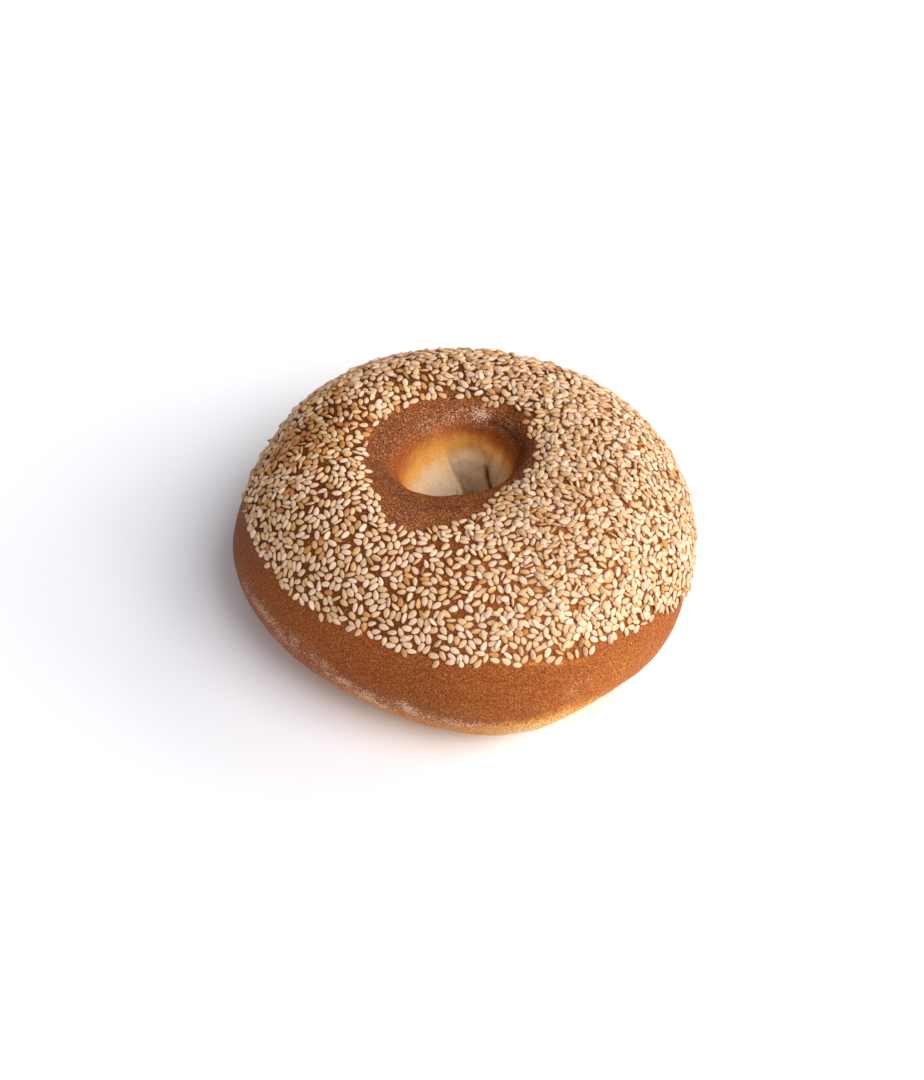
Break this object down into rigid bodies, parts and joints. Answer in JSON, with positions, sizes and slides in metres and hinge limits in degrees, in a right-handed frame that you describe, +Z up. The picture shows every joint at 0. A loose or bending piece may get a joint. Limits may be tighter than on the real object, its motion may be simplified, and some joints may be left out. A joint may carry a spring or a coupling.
{
  "type": "sesame bagel",
  "caption": "Whole baked bagel, a thick uneven ring of bread with a small off-centre hole, its top thickly sprinkled with sesame seeds.",
  "frame": {"origin": "middle of the bagel's footprint, on the flat underside that it rests on", "axes": "+Z up, out of the seeded top; -Y towards the front, where the ring is thickest; +X to the right, seen from the front. The hole runs along Z and lies behind the middle."},
  "size_m": [0.131, 0.13, 0.054],
  "materials": {
    "crust": "matte",
    "sesame_seed": "satin"
  },
  "bodies": {
    "root": {"bagel": "crust"}
  },
  "joints": []
}
